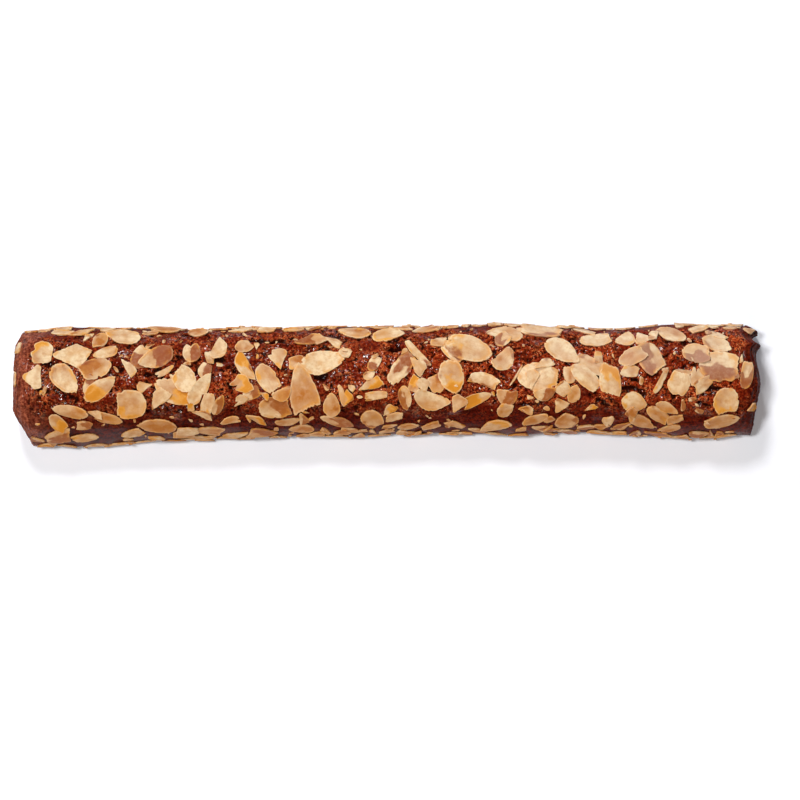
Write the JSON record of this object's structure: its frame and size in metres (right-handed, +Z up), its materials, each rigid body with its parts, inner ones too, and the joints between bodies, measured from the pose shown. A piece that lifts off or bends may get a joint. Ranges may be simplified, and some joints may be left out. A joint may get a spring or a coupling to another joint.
{
  "type": "filled speculaas bar",
  "caption": "Long, low baked bar of dark spiced dough with a rounded top and flat underside, coated all over with flaked almonds.",
  "frame": {"origin": "centre of the flat underside", "axes": "+X along the bar towards the end with the pinched corner, +Y towards the back, +Z up"},
  "size_m": [0.3417, 0.0582, 0.0316],
  "materials": {
    "speculaas_dough": null,
    "almond_flake": null
  },
  "bodies": {
    "root": {"speculaas_bar": "speculaas_dough"}
  },
  "joints": []
}
